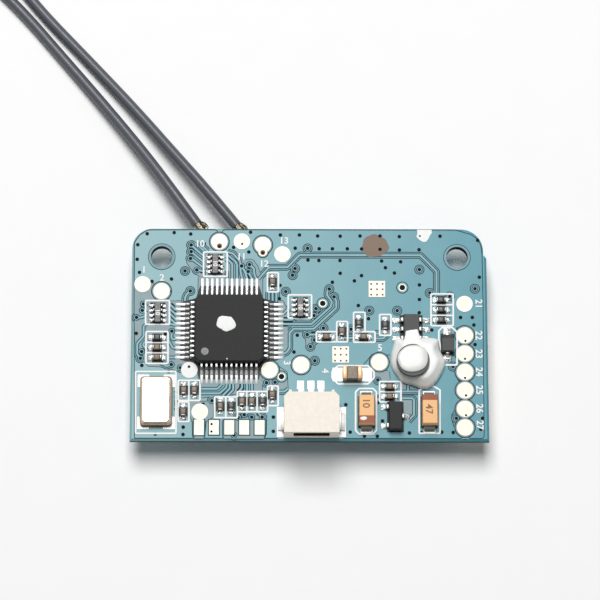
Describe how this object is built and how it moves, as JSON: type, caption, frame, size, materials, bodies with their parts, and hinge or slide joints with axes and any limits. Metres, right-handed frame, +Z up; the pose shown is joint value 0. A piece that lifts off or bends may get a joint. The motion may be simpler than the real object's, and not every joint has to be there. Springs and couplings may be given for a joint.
{
  "type": "rc receiver",
  "caption": "Bare circuit board of a small radio control receiver, with side-entry connectors, surface parts, a shield can underneath and thin antenna coaxes.",
  "frame": {"origin": "on the surface it rests on, under the middle of the board", "axes": "+X along the board's long side towards the servo connector, +Y towards the antennas, +Z up out of the component side"},
  "size_m": [0.0671, 0.0655, 0.0069],
  "materials": {
    "board_mask": "glossy solder mask over copper",
    "gold_pad": "gold plated copper",
    "black_epoxy": "moulded epoxy",
    "tinned_metal": "tin plated",
    "crystal_ceramic": "fired ceramic",
    "nickel_lid": "welded nickel plated lid",
    "chip_ceramic": "capacitor ceramic",
    "resistor_black": "glass coated alumina",
    "tantalum_epoxy": "moulded epoxy",
    "ferrite": "sintered ferrite",
    "copper_wire": "enamelled copper",
    "silicone": "cured silicone",
    "ivory_nylon": "moulded nylon",
    "tin_plate": "tin plated steel",
    "coax_jacket": "extruded fluoropolymer",
    "coax_braid": "tarnished braid",
    "coax_core": "clear fluoropolymer",
    "solder": "solder"
  },
  "bodies": {
    "root": {"antenna_1_braid": "coax_braid", "antenna_1_coil": "coax_jacket", "antenna_1_core": "coax_core", "antenna_1_lead": "coax_jacket", "antenna_1_wire": "tinned_metal", "antenna_2_braid": "coax_braid", "antenna_2_coil": "coax_jacket", "antenna_2_core": "coax_core", "antenna_2_lead": "coax_jacket", "antenna_2_wire": "tinned_metal", "antenna_braid_solder": "solder", "antenna_wire_solder": "solder", "bulk_capacitor_body": "chip_ceramic", "bulk_capacitor_ends": "tinned_metal", "capacitor_chip_bodies": "chip_ceramic", "chip_terminals": "tinned_metal", "circuit_board": "board_mask", "component_pads": "solder", "converter_body": "black_epoxy", "converter_leads": "tinned_metal", "crystal_base": "crystal_ceramic", "crystal_lid": "nickel_lid", "diode_body": "black_epoxy", "diode_leads": "tinned_metal", "inductor_core": "ferrite", "inductor_terminals": "tinned_metal", "inductor_winding": "copper_wire", "microcontroller_body": "black_epoxy", "microcontroller_leads": "tinned_metal", "microcontroller_pads": "solder", "radio_chip_bodies": "chip_ceramic", "radio_chip_terminals": "tinned_metal", "radio_crystal": "nickel_lid", "radio_front_end": "black_epoxy", "radio_transceiver": "black_epoxy", "regulator_body": "black_epoxy", "regulator_leads": "tinned_metal", "resistor_array_bodies": "resistor_black", "resistor_array_terminals": "tinned_metal", "resistor_chip_bodies": "resistor_black", "servo_connector_contacts": "tinned_metal", "servo_connector_housing": "ivory_nylon", "servo_connector_tabs": "tin_plate", "shield_can": "tin_plate", "signal_connector_contacts": "tinned_metal", "signal_connector_housing": "ivory_nylon", "signal_connector_tabs": "tin_plate", "silicone_adhesive": "silicone", "silicone_cap": "silicone", "tantalum_case_1": "tantalum_epoxy", "tantalum_case_2": "tantalum_epoxy", "tantalum_terminals_1": "tinned_metal", "tantalum_terminals_2": "tinned_metal", "test_pads": "gold_pad", "underside_pads": "solder"}
  },
  "joints": []
}
